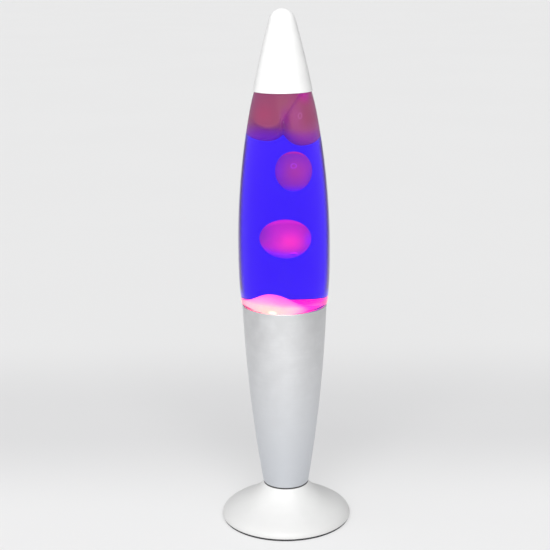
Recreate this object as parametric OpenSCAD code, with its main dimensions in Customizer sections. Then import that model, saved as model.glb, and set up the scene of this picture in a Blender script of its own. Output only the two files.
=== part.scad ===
// Rocket-shaped lava lamp. A round foot and a conical metal base hold the bulb, a tapered
// glass bottle of dyed liquid and wax stands in the base, and a hollow cone covers its neck.
// Millimetres, +Z up, front towards -Y, origin at the centre of the underside.

/* [Foot] */
// Radius of the foot's rim
foot_r = 44.8; // [43.6:0.1:46]
// Wall of the moulded foot
foot_wall = 2; // [1.8:0.1:2.2]
// Thickness of the non-slip ring under the foot
ring_t = 1.5; // [1.3:0.1:1.6]

/* [Base] */
// Radius of the base where it meets the foot
base_low_r = 15.6; // [15.4:0.1:16]
// Radius of the base at its rim
base_rim_r = 28.5; // [28.4:0.1:28.8]
// Height of the base from the foot to its rim
base_h = 128.5; // [128:0.1:129]
// How far the side of the base bows out from a straight cone
base_bow = 2; // [1.6:0.1:2.4]
// Wall of the spun base
base_wall = 0.9; // [0.8:0.1:1]

/* [Bottle] */
// Largest radius of the bottle
belly_r = 30.7; // [30.5:0.1:31]
// Height of the bottle's widest ring above the underside
belly_z = 193; // [192:0.5:194]
// Wall of the glass
glass_wall = 2.5; // [2.3:0.1:2.7]
// Outer radius of the bottle's neck
neck_r = 12.6; // [12.4:0.1:12.8]

/* [Cap] */
// Radius of the cone at its lower edge
cap_r = 19.5; // [19.4:0.05:19.8]
// Height of the cone's lower edge above the underside
cap_z = 297.4; // [297.2:0.1:297.8]
// Height of the cone
cap_h = 52.6; // [52:0.1:53]
// Wall of the spun cone
cap_wall = 0.6; // [0.5:0.05:0.7]

/* [Wax] */
// Radius of the lower free blob
lower_blob_r = 13.2; // [12.6:0.1:13.4]
// Half the width of the upper free blob
upper_blob_r = 9.5; // [9:0.1:10]
// Half the height of the upper free blob
upper_blob_half_h = 13.1; // [12.6:0.1:13.3]
// Level of the pool of wax at the bottom of the bottle
pool_z = 155.5; // [155:0.1:156]
// Level of the lower face of the wax gathered at the top
crown_z = 269; // [268.5:0.1:270]

/* [Hidden] */
$fn = 96;

// Gap between faces of one body that lie side by side
touch = 0.05;
// Room between pieces that move past each other
room = 0.4;

// Foot: the neck ends a groove's height under the base, which stands on a smaller spigot
foot_neck_z = 25;
base_z = 25.7;
spigot_r = base_low_r - 0.8;
plate_z = 23;
plate_r = 12.6;
cover_t = 1.6;
cover_z = ring_t;
cover_top = cover_z + cover_t;
cover_r = foot_r - foot_wall - 0.5;
ring_inner_r = 34;
boss_place = 26;
boss_r = 3.2;
boss_top = 13;
screw_r = 1.25;
screw_len = 9.5;

// Cord inlet at the back of the foot
inlet_z = 6.4;
inlet_bore_r = 2.6;
grommet_r = 3.2;
grommet_y = [30.5, 43];

// Threaded tube that clamps foot, base and lampholder together
tube_r = 4.95;
tube_bore_r = 3.6;
tube_z = [18.5, 40];
washer_t = 0.8;
washer_r = 9;
nut_t = 3;
nut_r = 8.08;

// Two-way terminal block on the cover, and the leads from it to the lampholder
block = [18, 14, 8.6];
block_y = 8;
block_way_x = 4;
block_way_z = cover_top + 4;
block_screw_y = [3.5, 10.5];
lead_r = 0.9;
lead_gap = 1.7;

// Lampholder, on top of the threaded tube
holder_r = 13;
holder_inner_r = 11.5;
holder_z = 31;
holder_split_z = 47;
holder_step_z = 55.4;
holder_top_z = 75;
holder_bore_r = 8.3;
interior_z = [46.5, 52];
terminal_x = 6.5;
terminal_y = 5;

// Bulb: reflector bulb 39 mm across and 66 mm long, with a 14 mm screw cap
bulb_z = 54;
bulb_max_r = 19.5;
thread_pitch = 2.82;
thread_turns = 5;
thread_minor_r = 6.2;
thread_major_r = 6.9;

// Base, bottle and neck levels
base_floor = 1;
base_corner = 1.2;
rim_z = base_z + base_h;
bottle_z = 128;
ledge_z = rim_z + 0.3;
shoulder_r = 1.1;
shoulder_z = ledge_z + shoulder_r;
cavity_z = 131.5;
side_top_z = 298;
cavity_side_top_z = 295;
neck_z = 304.5;
neck_top_z = 316.8;
neck_bore_r = neck_r - glass_wall;
fill_z = 308;

// Free travel of the two blobs, down and up from rest
lower_blob_at = [0.7, 0, 200.4];
lower_blob_travel = [-20, 7.5];
upper_blob_at = [5.1, 0, 244.7];
upper_blob_travel = [-9, 3.5];

// Ring of coiled wire that lies in the wax
coil_ring_r = 13.8;
coil_r = 2.3;
coil_wire_r = 0.45;
coil_turns = 30;
coil_steps = 8;
coil_z = cavity_z + coil_r + coil_wire_r + 0.6;

// Points of a cubic curve in n steps
function curve(a, b, c, d, n) = [for (i = [0:n]) let (t = i / n, s = 1 - t)
    s * s * s * a + 3 * s * s * t * b + 3 * s * t * t * c + t * t * t * d];

// Points of an arc in n steps, angles in degrees
function arc(centre, r, from, to, n) =
    [for (i = [0:n]) let (a = from + (to - from) * i / n) centre + r * [cos(a), sin(a)]];

function reverse(p) = [for (i = [len(p) - 1:-1:0]) p[i]];

function unit(v) = v / norm(v);

// Direction of a path at point i
function heading(p, i) = unit(p[min(i + 1, len(p) - 1)] - p[max(i - 1, 0)]);

// A side outline that climbs from bottom to top, moved inwards by w
function inset(p, w) = [for (i = [0:len(p) - 1]) let (h = heading(p, i))
    [max(0, p[i][0] - w * h[1]), p[i][1] + w * h[0]]];

// Side of the foot, from the rim to the neck: steep at the rim, then a long concave sweep
foot_bend = [foot_r - 13.8, 12.3];
foot_side = concat(
    curve([foot_r, ring_t + 0.7], [foot_r - 0.4, 6.2], [foot_r - 6.3, 8.6], foot_bend, 10),
    curve(foot_bend, [22.5, 16.5], [17.8, 21.3], [base_low_r, foot_neck_z], 10));

// Radius of the base's side at height z
function base_r(z) = let (t = (z - base_z) / base_h)
    base_low_r + (base_rim_r - base_low_r) * t + 4 * base_bow * t * (1 - t);

// Radius of the bottle's side at height z: an arc above the belly, a slow curve below it,
// and a slight turn inwards under the cap
function bottle_r(z) = z < belly_z
    ? belly_r - 1.48 * pow((belly_z - z) / 35, 3)
    : belly_r - (482 - sqrt(482 * 482 - pow(z - belly_z, 2)))
        - 0.55 * pow(max(0, z - 284) / 13.4, 2);

// Points along the bottle's side between two heights, moved inwards by w
function bottle_side(low, high, w, n) =
    [for (i = [0:n]) let (z = low + (high - low) * i / n) [bottle_r(z) - w, z]];

// Outline of the space inside the bottle, less a gap g at the wall, up to height top
function cavity(g, top) = concat(
    [[0, cavity_z + g]],
    arc([17.2, cavity_z + 2.5], 2.5 - g, -90, -12, 5),
    [[24.5 - g, 152.6], [25.3 - g, 155.2]],
    bottle_side(159.5, cavity_side_top_z, glass_wall + g, 24),
    curve([bottle_r(cavity_side_top_z + 0.6) - glass_wall - g, cavity_side_top_z + 0.6],
        [16.2 - g, 298.3], [neck_bore_r - g, 298], [neck_bore_r - g, 302.5], 6),
    [[neck_bore_r - g, top]]);

// Radius of the cone's side at height z
function cap_side_r(z) = let (d = z - cap_z) cap_r - 0.205 * d - 0.00095 * d * d;

module lathe(points) {
    rotate_extrude() polygon(points);
}

// Tube along a path, round each point's own normal
module tube(path, normals, r, sides, closed = false) {
    n = len(path);
    function at(i) = path[(i + n) % n];
    function along(i) = closed ? unit(at(i + 1) - at(i - 1)) : heading(path, i);
    function side(i) = let (t = along(i)) unit(normals[i] - (normals[i] * t) * t);
    points = [for (i = [0:n - 1]) let (u = side(i), v = cross(along(i), u))
        for (k = [0:sides - 1]) let (a = 360 * k / sides)
            path[i] + r * (cos(a) * u + sin(a) * v)];
    walls = [for (i = [0:closed ? n - 1 : n - 2]) for (k = [0:sides - 1])
        let (j = (i + 1) % n, m = (k + 1) % sides, a = i * sides, b = j * sides)
            for (face = [[a + k, b + k, b + m], [a + k, b + m, a + m]]) face];
    ends = closed ? [] : [[for (k = [0:sides - 1]) k],
        [for (k = [sides - 1:-1:0]) (n - 1) * sides + k]];
    polyhedron(points, concat(walls, ends));
}

module at_bosses() {
    for (a = [30, 150, 270]) rotate(a) translate([boss_place, 0, 0]) children();
}

module slotted_screw(head_r, head_h, shank_r, shank_len) {
    difference() {
        union() {
            translate([0, 0, -head_h]) cylinder(r = head_r, h = head_h);
            cylinder(r = shank_r, h = shank_len);
        }
        translate([-head_r, -0.35, -head_h - 1]) cube([2 * head_r, 0.7, 1.5]);
    }
}

// Spun metal cone that covers the neck
module cap() {
    cap_top = cap_z + cap_h;
    tip_r = 8.2;
    tip_angle = 16.4;
    tip_z = cap_top - tip_r + tip_r * sin(tip_angle);
    side = [for (i = [0:14]) let (z = cap_z + (tip_z - 1 - cap_z) * i / 14) [cap_side_r(z), z]];
    outer = concat(side, arc([0, cap_top - tip_r], tip_r, tip_angle, 90, 10));
    inner = [for (p = inset(outer, cap_wall)) if (p[1] > cap_z + 1) p];
    color("white") lathe(concat(outer, reverse(inner), [[cap_r - cap_wall, cap_z]]));
}

// Glass bottle: punted bottom, conical heel, ledge over the base's rim, long body and neck
module bottle_glass() {
    outer = concat(
        [[0, bottle_z + 1.4], [14, bottle_z + 1.2], [17.4, bottle_z]],
        arc([19.4, bottle_z + 3], 3, -90, -12, 5),
        [[26.9, 152.9], [27.2, ledge_z]],
        arc([bottle_r(shoulder_z) - shoulder_r, shoulder_z], shoulder_r, -90, 0, 4),
        bottle_side(shoulder_z + 1, side_top_z, 0, 30),
        curve([18.2, 298.8], [17.8, 300.6], [neck_r, 300.2], [neck_r, neck_z], 6),
        [[neck_r + 0.7, neck_z + 0.8], [neck_r + 0.7, neck_z + 1.8], [neck_r, neck_z + 2.6]],
        [[neck_r, neck_top_z - 0.5], [neck_r - 0.5, neck_top_z]]);
    color([0.85, 0.9, 0.95, 0.35]) lathe(concat(outer, reverse(cavity(0, neck_top_z))));
}

// Pressed metal closure over the neck
module bottle_closure() {
    r = neck_r + 0.8;
    inner_r = neck_r + 0.3;
    low = neck_top_z - 8.4;
    top = neck_top_z + 1.2;
    color("silver") lathe([[inner_r, low], [r + 0.2, low], [r + 0.2, low + 0.8], [r, low + 1],
        [r, top - 0.8], [r - 0.8, top], [0, top], [0, top - 0.6], [inner_r, top - 0.6]]);
}

// Sealing disc between closure and neck
module closure_liner() {
    color("dimgray") translate([0, 0, neck_top_z])
        cylinder(r = neck_r - 0.1, h = 0.6);
}

module filling() {
    lathe(concat(cavity(touch, fill_z), [[0, fill_z]]));
}

module crown_lobes(g) {
    translate([-7.5, 1, 277.5]) sphere(r = 12.8 + g);
    translate([8.6, -3.5, 273.7]) sphere(r = 11.5 + g);
}

module pool_mound(g) {
    translate([-8, -8, 150]) sphere(r = 15 + g);
}

// Space that a blob sweeps, with room round it
module blob_way(at, r, half_h, travel) {
    low = at[2] + travel[0];
    high = at[2] + travel[1];
    bottom = [for (i = [0:9]) let (a = -90 + 10 * i)
        [(r + room) * cos(a), low + (half_h + room) * sin(a)]];
    top = [for (i = [0:9]) let (a = 10 * i)
        [(r + room) * cos(a), high + (half_h + room) * sin(a)]];
    translate([at[0], at[1], 0]) lathe(concat(bottom, top));
}

// Dyed liquid between the pool and the crown of wax
module liquid() {
    color([0.25, 0.15, 1, 0.6]) difference() {
        filling();
        translate([0, 0, crown_z - touch]) cylinder(r = 40, h = 60);
        translate([0, 0, pool_z + touch - 60]) cylinder(r = 40, h = 60);
        crown_lobes(touch);
        pool_mound(touch);
        blob_way(lower_blob_at, lower_blob_r, lower_blob_r, lower_blob_travel);
        blob_way(upper_blob_at, upper_blob_r, upper_blob_half_h, upper_blob_travel);
    }
}

// Wax at the bottom, with a mound that is about to rise and the space for the coil
module wax_pool() {
    color([1, 0.75, 0.85]) difference() {
        intersection() {
            filling();
            union() {
                translate([0, 0, pool_z - 60]) cylinder(r = 40, h = 60);
                pool_mound(0);
            }
        }
        translate([0, 0, coil_z]) rotate_extrude()
            translate([coil_ring_r, 0]) circle(r = coil_r + coil_wire_r + 0.2);
    }
}

// Wax gathered at the top, with two lobes hanging from it
module wax_crown() {
    color([0.75, 0.3, 0.45]) intersection() {
        filling();
        union() {
            translate([0, 0, crown_z]) cylinder(r = 40, h = 60);
            crown_lobes(0);
        }
    }
}

module blob(at, r, half_h) {
    color([1, 0.2, 0.75]) translate(at)
        lathe([for (i = [0:18]) let (a = -90 + 10 * i) [r * cos(a), half_h * sin(a)]]);
}

module wax_blob_upper() {
    blob(upper_blob_at, upper_blob_r, upper_blob_half_h);
}

module wax_blob_lower() {
    blob(lower_blob_at, lower_blob_r, lower_blob_r);
}

// Ring of coiled steel wire that breaks the surface tension of the wax
module heat_coil() {
    count = coil_turns * coil_steps;
    outward = [for (i = [0:count - 1]) let (a = 360 * i / count, b = 360 * i / coil_steps)
        [cos(b) * cos(a), cos(b) * sin(a), sin(b)]];
    path = [for (i = [0:count - 1]) let (a = 360 * i / count)
        [coil_ring_r * cos(a), coil_ring_r * sin(a), coil_z] + coil_r * outward[i]];
    color("gray") tube(path, outward, coil_wire_r, 4, true);
}

// Spun metal base, open at the top, with a rolled rim
module base_shell() {
    low = base_z + base_corner;
    high = rim_z - base_wall / 2;
    side = [for (i = [0:22]) let (z = low + (high - low) * i / 22) [base_r(z), z]];
    outer = concat(
        arc([base_r(low) - base_corner, low], base_corner, -90, -10, 4),
        side,
        arc([base_r(high) - base_wall / 2, high], base_wall / 2, 15, 165, 6));
    inner = concat(
        [for (i = [22:-1:1]) [side[i][0] - base_wall, side[i][1]]],
        [[base_r(low + 0.6) - base_wall - 0.4, base_z + base_floor]]);
    color("silver") lathe(concat([[tube_r + 0.1, base_z]], outer, inner,
        [[tube_r + 0.1, base_z + base_floor]]));
}

// Moulded foot with three screw bosses and the hole for the cord inlet
module foot_shell() {
    inner = [for (p = inset(foot_side, foot_wall)) if (p[1] < plate_z && p[1] > cover_top) p];
    color("white") difference() {
        union() {
            lathe(concat([[foot_r - 0.4, ring_t]], foot_side,
                [[spigot_r, foot_neck_z], [spigot_r, base_z], [tube_r + 0.1, base_z]],
                [[tube_r + 0.1, plate_z], [plate_r, plate_z]], reverse(inner),
                [[foot_r - foot_wall, cover_top], [foot_r - foot_wall, ring_t]]));
            at_bosses() translate([0, 0, cover_top + touch])
                cylinder(r = boss_r, h = boss_top - cover_top);
        }
        at_bosses() cylinder(r = screw_r + 0.03, h = cover_z + screw_len + 0.5);
        translate([0, grommet_y[0] - 4, inlet_z]) rotate([-90, 0, 0])
            cylinder(r = grommet_r + touch, h = 30);
    }
}

// Disc that closes the foot from below
module foot_cover() {
    color([0.1, 0.1, 0.1]) difference() {
        translate([0, 0, cover_z]) cylinder(r = cover_r, h = cover_t);
        at_bosses() cylinder(r = screw_r + 0.35, h = 10);
    }
}

module foot_cover_screws() {
    color("silver") at_bosses() translate([0, 0, cover_z])
        slotted_screw(2.6, 1, screw_r, screw_len);
}

// Soft ring that the lamp stands on
module non_slip_ring() {
    color([0.1, 0.1, 0.12]) lathe([[ring_inner_r, 0], [foot_r - 0.9, 0], [foot_r - 0.7, 0.2],
        [foot_r - 0.7, ring_t], [ring_inner_r, ring_t]]);
}

// Rubber bush that the cord passes through
module cord_grommet() {
    color([0.9, 0.9, 0.9]) translate([0, grommet_y[0], inlet_z]) rotate([-90, 0, 0])
        difference() {
            cylinder(r = grommet_r, h = grommet_y[1] - grommet_y[0]);
            translate([0, 0, -1]) cylinder(r = inlet_bore_r, h = 20);
        }
}

module threaded_tube() {
    color("goldenrod") translate([0, 0, tube_z[0]]) difference() {
        cylinder(r = tube_r, h = tube_z[1] - tube_z[0]);
        translate([0, 0, -1]) cylinder(r = tube_bore_r, h = 30);
    }
}

// One nut under the foot's plate and one on the base's floor
module clamp_nuts() {
    color("silver") for (z = [plate_z - washer_t - nut_t, base_z + base_floor + washer_t])
        translate([0, 0, z]) difference() {
            cylinder(r = nut_r, h = nut_t, $fn = 6);
            translate([0, 0, -1]) cylinder(r = tube_r + touch, h = nut_t + 2);
        }
}

module clamp_washers() {
    color("silver") for (z = [plate_z - washer_t, base_z + base_floor])
        translate([0, 0, z]) difference() {
            cylinder(r = washer_r, h = washer_t);
            translate([0, 0, -1]) cylinder(r = tube_r + 0.3, h = washer_t + 2);
        }
}

// Lower half of the lampholder, screwed on the threaded tube
module holder_dome() {
    color("ivory") lathe(concat(
        [[tube_r + touch, holder_z], [8, holder_z]],
        arc([holder_r - 4, holder_z + 5], 4, -80, 0, 6),
        [[holder_r, holder_split_z - touch], [holder_inner_r, holder_split_z - touch]],
        arc([holder_inner_r - 3, holder_z + 9], 3, 0, -90, 4),
        [[7, holder_z + 6], [7, tube_z[1]], [tube_r + touch, tube_z[1]]]));
}

// Upper half of the lampholder, round the screw shell
module holder_skirt() {
    color("ivory") lathe([[holder_inner_r, holder_split_z], [holder_r, holder_split_z],
        [holder_r, holder_top_z - 1], [holder_r - 1, holder_top_z],
        [holder_bore_r, holder_top_z], [holder_bore_r, holder_step_z],
        [holder_inner_r, holder_step_z]]);
}

// Insulating core that carries the contacts
module holder_interior() {
    color("beige") difference() {
        union() {
            translate([0, 0, interior_z[0]])
                cylinder(r = holder_inner_r - 0.2, h = interior_z[1] - interior_z[0]);
            translate([0, 0, interior_z[1]]) difference() {
                cylinder(r = holder_inner_r - 0.2, h = holder_step_z - interior_z[1] - touch);
                translate([0, 0, -1]) cylinder(r = holder_bore_r - 0.5, h = 10);
            }
        }
        for (s = [-1, 1]) translate([s * terminal_x, terminal_y, interior_z[0] - 1])
            cylinder(r = 1.55, h = 5);
    }
}

// Corrugated metal shell that the bulb's cap turns in
module holder_screw_shell() {
    low = holder_step_z + 0.1;
    thread_room = thread_major_r + room;
    crest = thread_room + 0.35;
    wave = [for (i = [0:5]) for (k = [0, 1])
        [k == 0 ? thread_room : crest, low + 1.5 + thread_pitch * (i + k / 2)]];
    outer = concat([[holder_bore_r - 0.1, low], [holder_bore_r - 0.1, low + 0.4]],
        [for (p = wave) p + [0.35, 0]]);
    color("goldenrod") lathe(concat(outer, reverse(wave), [[thread_room, low]]));
}

// Brass tongue under the bulb's tip
module holder_centre_contact() {
    tip_z = bulb_z - 0.35;
    low = interior_z[1] + touch;
    color("goldenrod") translate([0, 2, 0]) rotate([90, 0, 0]) linear_extrude(4)
        polygon([[-6, low], [-2.5, low], [1.5, tip_z - 0.4], [3.5, tip_z - 0.9],
            [3.5, tip_z - 0.5], [1.5, tip_z], [-2.6, low + 0.4], [-6, low + 0.4]]);
}

module holder_terminal_screws() {
    color("goldenrod") for (s = [-1, 1])
        translate([s * terminal_x, terminal_y, interior_z[0]])
            slotted_screw(2.4, 1.4, 1.5, 3.5);
}

// Two-way block where the cord's cores join the inner leads
module terminal_block() {
    color("whitesmoke") difference() {
        translate([-block[0] / 2, block_y, cover_top + touch]) cube(block);
        for (s = [-1, 1]) translate([s * block_way_x, block_y, 0]) {
            translate([0, -1, block_way_z]) rotate([-90, 0, 0]) cylinder(r = 1.6, h = 20);
            for (y = block_screw_y) translate([0, y, block_way_z]) cylinder(r = 1.5, h = 10);
        }
    }
}

module terminal_block_screws() {
    color("silver") for (s = [-1, 1]) for (y = block_screw_y)
        translate([s * block_way_x, block_y + y, cover_top + block[2] - 0.4])
            rotate([180, 0, 0]) slotted_screw(1.4, 0.1, 1.4, 2.4);
}

// Lead from the terminal block, up the threaded tube, to a terminal of the lampholder
module lead(s) {
    foot_end = [s * block_way_x, block_y - 0.1, block_way_z];
    tube_in = [s * lead_gap, 0, 19];
    tube_out = [s * lead_gap, 0, 40.5];
    top_end = [s * terminal_x, 0, interior_z[0] - 0.1];
    path = concat(
        curve(foot_end, foot_end + [0, -7, 0], tube_in + [0, 0, -9], tube_in, 12),
        [tube_in + [0, 0, 10]],
        curve(tube_out, tube_out + [0, 0, 3], top_end + [0, 0, -3.5], top_end, 8));
    tube(path, [for (p = path) [1, 0.3, 0]], lead_r, 8);
}

module live_lead() {
    color("saddlebrown") lead(1);
}

module neutral_lead() {
    color("royalblue") lead(-1);
}

// Reflector bulb's glass, above its cap
module bulb_glass() {
    outer = concat(
        [[7.4, 22], [7.6, 26]],
        curve([8, 28], [8.6, 34], [17.5, 44], [19, 50], 8),
        [[bulb_max_r, 52.5]],
        curve([19.2, 55.5], [18, 61.5], [9, 66], [0, 66], 10));
    inner = [for (p = inset(outer, 0.7)) if (p[1] > 22.5) p];
    color([0.9, 0.9, 0.9, 0.6]) translate([0, 0, bulb_z])
        lathe(concat(outer, reverse(inner), [[6.7, 22]]));
}

// Threaded metal cap of the bulb, with a flared collar
module bulb_cap() {
    threads = [for (i = [0:thread_turns - 1]) for (p = [[thread_minor_r, 0.2],
        [thread_major_r, 1], [thread_major_r, 1.5], [thread_minor_r, 2.3]])
        [p[0], 4 + thread_pitch * i + p[1]]];
    color("silver") translate([0, 0, bulb_z]) lathe(concat(
        [[5.2, 3.6], [thread_minor_r, 4]], threads,
        [[thread_major_r, 19], [8.5, 24], [8.5, 25], [7.65, 25], [7.5, 21.9], [6.5, 21.9]],
        [[5.8, 18.5], [5.8, 4.2], [5.2, 4.2]]));
}

// Black glass between the cap and the tip contact
module bulb_insulator() {
    color([0.1, 0.1, 0.1]) translate([0, 0, bulb_z])
        lathe([[0, 1.25], [2.6, 1.25], [5.1, 3.5], [5.1, 5], [0, 5]]);
}

module bulb_tip_contact() {
    color("silver") translate([0, 0, bulb_z])
        lathe([[0, 0], [1.2, 0.1], [2.2, 0.6], [2.5, 1.2], [0, 1.2]]);
}

// Glass mount inside the bulb
module bulb_stem() {
    color([0.9, 0.9, 0.95, 0.5]) translate([0, 0, bulb_z])
        lathe([[0, 23], [5.5, 23], [4.6, 25], [1.8, 28], [1.6, 38], [0, 38.6]]);
}

// Two wires that carry the filament
module bulb_supports() {
    color("silver") for (s = [-1, 1])
        translate([s * 1.9, 0, bulb_z + 34]) rotate([0, s * 20, 0])
            cylinder(r = 0.25, h = 15, $fn = 24);
}

module bulb_filament() {
    span = 6.5;
    path = [for (i = [0:16]) let (t = i / 16)
        [span * (2 * t - 1), 0, bulb_z + 48.5 + 1.2 * sin(180 * t)]];
    color("dimgray") tube(path, [for (p = path) [0, 1, 0]], 0.3, 6);
}

cap();
bottle_glass();
bottle_closure();
closure_liner();
liquid();
wax_pool();
wax_crown();
wax_blob_upper();
wax_blob_lower();
heat_coil();
base_shell();
foot_shell();
foot_cover();
foot_cover_screws();
non_slip_ring();
cord_grommet();
threaded_tube();
clamp_nuts();
clamp_washers();
holder_dome();
holder_skirt();
holder_interior();
holder_screw_shell();
holder_centre_contact();
holder_terminal_screws();
terminal_block();
terminal_block_screws();
live_lead();
neutral_lead();
bulb_glass();
bulb_cap();
bulb_insulator();
bulb_tip_contact();
bulb_stem();
bulb_supports();
bulb_filament();
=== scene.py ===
# Rocket-shaped lava lamp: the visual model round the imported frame.
# Outlines are (radius, height) points in millimetres. Names that end in _M are in metres.
import math
import bmesh
import bpy
from mathutils import Matrix, Vector


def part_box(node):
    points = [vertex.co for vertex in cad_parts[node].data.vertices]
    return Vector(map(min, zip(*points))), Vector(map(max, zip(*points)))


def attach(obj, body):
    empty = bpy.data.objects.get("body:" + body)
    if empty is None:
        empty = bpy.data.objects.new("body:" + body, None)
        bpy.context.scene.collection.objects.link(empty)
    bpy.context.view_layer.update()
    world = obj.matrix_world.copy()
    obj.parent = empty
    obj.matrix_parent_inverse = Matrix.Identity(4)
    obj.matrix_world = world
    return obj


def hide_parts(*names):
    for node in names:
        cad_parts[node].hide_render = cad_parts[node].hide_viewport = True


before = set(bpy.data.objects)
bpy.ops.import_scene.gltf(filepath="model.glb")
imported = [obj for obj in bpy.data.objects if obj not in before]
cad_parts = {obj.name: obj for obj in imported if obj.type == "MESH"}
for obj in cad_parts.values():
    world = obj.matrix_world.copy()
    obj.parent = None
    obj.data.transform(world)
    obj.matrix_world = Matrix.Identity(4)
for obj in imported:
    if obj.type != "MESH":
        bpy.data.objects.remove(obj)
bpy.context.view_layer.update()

MM = 0.001


# ---------------------------------------------------------------- profiles
def box_mm(node):
    """The lowest and highest corners of a CAD node's box."""
    low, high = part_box(node)
    return [v / MM for v in low], [v / MM for v in high]


def curve(a, b, c, d, n):
    """Points of a cubic curve in n steps."""
    out = []
    for i in range(n + 1):
        t = i / n
        w = ((1 - t) ** 3, 3 * (1 - t) ** 2 * t, 3 * (1 - t) * t * t, t ** 3)
        out.append(tuple(sum(k * p[j] for k, p in zip(w, (a, b, c, d))) for j in (0, 1)))
    return out


def arc(r0, z0, r, start, end, n):
    """Points of an arc in n steps, angles in degrees."""
    angles = [math.radians(start + (end - start) * i / n) for i in range(n + 1)]
    return [(r0 + r * math.cos(a), z0 + r * math.sin(a)) for a in angles]


def turns(n):
    """n even angles round a circle."""
    return [2 * math.pi * k / n for k in range(n)]


def inset(points, w):
    """A side outline that climbs from bottom to top, moved inwards by w."""
    out = []
    for i, (r, z) in enumerate(points):
        a, b = points[max(i - 1, 0)], points[min(i + 1, len(points) - 1)]
        dr, dz = b[0] - a[0], b[1] - a[1]
        size = math.hypot(dr, dz)
        out.append((max(0.0, r - w * dz / size), z + w * dr / size))
    return out


def steps(low, high, n):
    """n + 1 even values from low to high."""
    return [low + (high - low) * i / n for i in range(n + 1)]


def round_mm(node):
    """A round node's outer radius and the heights of its bottom and its top."""
    low, high = box_mm(node)
    return high[0], low[2], high[2]


CAP_R, CAP_Z, CAP_TOP = round_mm("cap")
CAP_WALL = 0.6
CAP_SLOPE, CAP_BOW = 0.197, 0.00095      # how fast the cone narrows, and its bulge

BASE_Z, RIM_Z = round_mm("base_shell")[1:]
BASE_LOW_R, BASE_RIM_R, BASE_BOW, BASE_WALL = 15.6, 28.5, 2.0, 0.9

BELLY_R, BOTTLE_Z, NECK_TOP = round_mm("bottle_glass")
BELLY_Z = 193.0                          # the bottle's widest height
SKIRT_FALL, SKIRT_H = 1.48, 35.0         # how far it narrows below that, over what height
SIDE_ARC_R = 482.0                       # the long curve above it
SHOULDER_FALL, SHOULDER_Z0, SHOULDER_H = 0.55, 284.0, 13.4
NECK_R, GLASS_WALL = 12.6, 2.5
CAVITY_Z = BOTTLE_Z + 3.5                # the floor of the space inside
FILL_Z = 308.0                           # the liquid's surface

FOOT_R, RING_T = round_mm("foot_shell")[:2]   # the foot starts on the non-slip ring
FOOT_NECK_Z, PLATE_Z, FOOT_WALL = 25.0, 23.0, 2.0
TUBE_HOLE_R = 5.05


def base_r(z):
    """Outer radius of the silver base."""
    t = (z - BASE_Z) / (RIM_Z - BASE_Z)
    return BASE_LOW_R + (BASE_RIM_R - BASE_LOW_R) * t + 4 * BASE_BOW * t * (1 - t)


def bottle_r(z):
    """Outer radius of the bottle between its ledge and its shoulder."""
    if z < BELLY_Z:
        return BELLY_R - SKIRT_FALL * ((BELLY_Z - z) / SKIRT_H) ** 3
    fall = SIDE_ARC_R - math.sqrt(SIDE_ARC_R ** 2 - (z - BELLY_Z) ** 2)
    return BELLY_R - fall - SHOULDER_FALL * (max(0.0, z - SHOULDER_Z0) / SHOULDER_H) ** 2


def cap_side_r(z):
    """Outer radius of the cone below its rounded tip."""
    d = z - CAP_Z
    return CAP_R - CAP_SLOPE * d - CAP_BOW * d * d


def cavity(g, top):
    """Outline of the space inside the bottle, less a gap g at the wall."""
    inner = GLASS_WALL + g
    bore = NECK_R - GLASS_WALL - g
    return ([(0.0, CAVITY_Z + g)]
            + arc(17.2, CAVITY_Z + 2.5, 2.5 - g, -90, -12, 8)
            + [(24.5 - g, 152.6), (24.95 - g, 154.1), (25.7 - g, 156.4), (26.35 - g, 158)]
            + [(bottle_r(z) - inner, z) for z in steps(160.5, 295, 60)]
            + curve((bottle_r(295.6) - inner, 295.6), (16.2 - g, 298.3), (bore, 298),
                    (bore, 302.5), 12)
            + [(bore, top)])


def along(outline, low, high, n):
    """n + 1 points, even by length, along a climbing outline between two heights.

    The stretch begins at the height low, or at the outline's start where low is None.
    """
    lengths = [0.0]
    for (r0, z0), (r1, z1) in zip(outline, outline[1:]):
        lengths.append(lengths[-1] + math.hypot(r1 - r0, z1 - z0))

    def length_at(z):
        for i in range(len(outline) - 1):
            z0, z1 = outline[i][1], outline[i + 1][1]
            if z0 < z <= z1:
                return lengths[i] + (lengths[i + 1] - lengths[i]) * (z - z0) / (z1 - z0)
        return lengths[-1]

    start = 0.0 if low is None else length_at(low)
    end = length_at(high)
    out, i = [], 0
    for s in steps(start, end, n):
        while i < len(outline) - 2 and lengths[i + 1] < s:
            i += 1
        t = (s - lengths[i]) / (lengths[i + 1] - lengths[i])
        t = min(max(t, 0.0), 1.0)
        out.append(tuple(outline[i][j] + (outline[i + 1][j] - outline[i][j]) * t for j in (0, 1)))
    return out


# ---------------------------------------------------------------- meshes
SAME_POINT, ON_AXIS = 1e-3, 1e-6         # an outline's points this close, in mm, are one
WELD_M = 0.000002                        # and so are points this close after a cut
EDGE, WAX_EDGE = 40.0, 60.0              # shading is hard at edges above so many degrees


def finish_shading(mesh, sharp):
    """Smooth shading with hard edges above an angle in degrees."""
    mesh.shade_smooth()
    mesh.set_sharp_from_angle(angle=math.radians(sharp))


def solid(name, verts, faces, sharp=EDGE):
    """A smooth-shaded object from points in millimetres, its faces turned outwards."""
    mesh = bpy.data.meshes.new(name)
    mesh.from_pydata([tuple(c * MM for c in v) for v in verts], [], faces)
    bm = bmesh.new()
    bm.from_mesh(mesh)
    bmesh.ops.recalc_face_normals(bm, faces=bm.faces)
    bm.to_mesh(mesh)
    bm.free()
    finish_shading(mesh, sharp)
    obj = bpy.data.objects.new(name, mesh)
    bpy.context.scene.collection.objects.link(obj)
    return obj


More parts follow.
